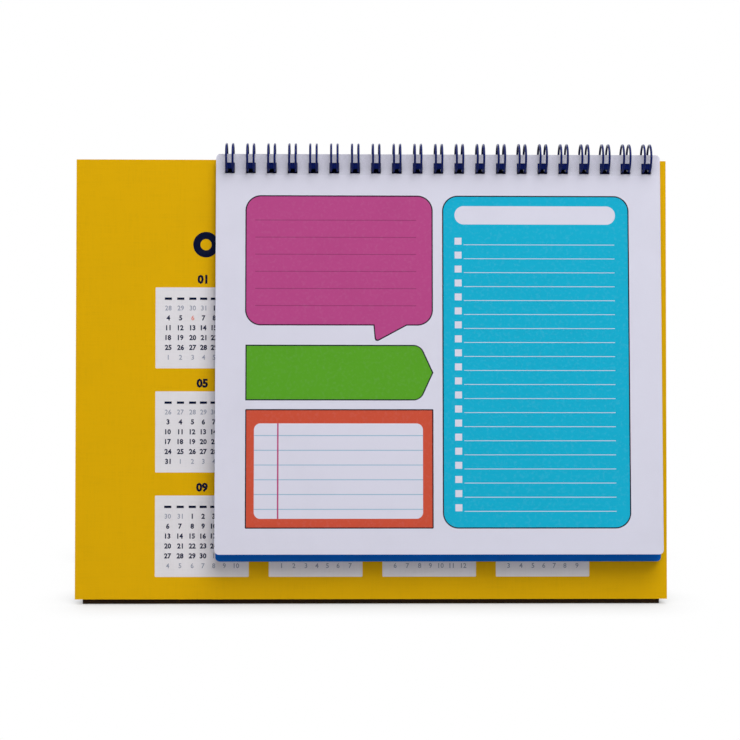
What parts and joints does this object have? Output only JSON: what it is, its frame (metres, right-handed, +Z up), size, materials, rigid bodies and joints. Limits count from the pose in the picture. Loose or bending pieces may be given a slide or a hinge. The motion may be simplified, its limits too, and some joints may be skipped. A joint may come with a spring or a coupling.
{
  "type": "desk calendar",
  "caption": "Desk calendar: a wrapped-board triangular stand with a twin-loop wire along its top and a pad of printed leaves that flip over the wire.",
  "frame": {"origin": "middle of the bounding box on the desk surface", "axes": "+X along the wire to the right as seen from the front, -Y towards the reader, +Z up"},
  "size_m": [0.24, 0.0822, 0.1834],
  "materials": {
    "yellow_print": "satin printed paper",
    "greyboard": "raw grey board",
    "lining_paper": "uncoated paper",
    "navy_wire": "plastic-coated steel wire",
    "notes_paper": "uncoated printed paper",
    "month_paper": "uncoated printed paper",
    "blue_paper": "printed paper"
  },
  "bodies": {
    "stand": {"front_wrap": "yellow_print", "front_board": "greyboard", "front_lining": "lining_paper", "back_wrap": "yellow_print", "back_board": "greyboard", "back_lining": "lining_paper", "base_wrap": "yellow_print", "base_board": "greyboard", "base_lining": "lining_paper", "front_strip": "lining_paper", "rear_strip": "lining_paper", "ridge_strip": "lining_paper", "twin_loop_wire": "navy_wire"},
    "blue_leaf": {"blue_sheet": "blue_paper"},
    "month_leaf_5": {"month_sheet_5": "month_paper"},
    "month_leaf_4": {"month_sheet_4": "month_paper"},
    "month_leaf_3": {"month_sheet_3": "month_paper"},
    "month_leaf_2": {"month_sheet_2": "month_paper"},
    "month_leaf_1": {"month_sheet_1": "month_paper"},
    "notes_leaf": {"notes_sheet": "notes_paper"}
  },
  "joints": [
    {"name": "blue_flip", "type": "hinge", "parent": "stand", "child": "blue_leaf", "pos_m": [0, 0.00025, 0.17755], "axis": [-1, 0, 0], "range_deg": [0, 9]},
    {"name": "month_5_flip", "type": "hinge", "parent": "blue_leaf", "child": "month_leaf_5", "pos_m": [0, 0.00025, 0.17755], "axis": [-1, 0, 0], "range_deg": [0, 9]},
    {"name": "month_4_flip", "type": "hinge", "parent": "month_leaf_5", "child": "month_leaf_4", "pos_m": [0, 0.00025, 0.17755], "axis": [-1, 0, 0], "range_deg": [0, 9]},
    {"name": "month_3_flip", "type": "hinge", "parent": "month_leaf_4", "child": "month_leaf_3", "pos_m": [0, 0.00025, 0.17755], "axis": [-1, 0, 0], "range_deg": [0, 9]},
    {"name": "month_2_flip", "type": "hinge", "parent": "month_leaf_3", "child": "month_leaf_2", "pos_m": [0, 0.00025, 0.17755], "axis": [-1, 0, 0], "range_deg": [0, 9]},
    {"name": "month_1_flip", "type": "hinge", "parent": "month_leaf_2", "child": "month_leaf_1", "pos_m": [0, 0.00025, 0.17755], "axis": [-1, 0, 0], "range_deg": [0, 9]},
    {"name": "notes_flip", "type": "hinge", "parent": "month_leaf_1", "child": "notes_leaf", "pos_m": [0, 0.00025, 0.17755], "axis": [-1, 0, 0], "range_deg": [0, 200]}
  ]
}
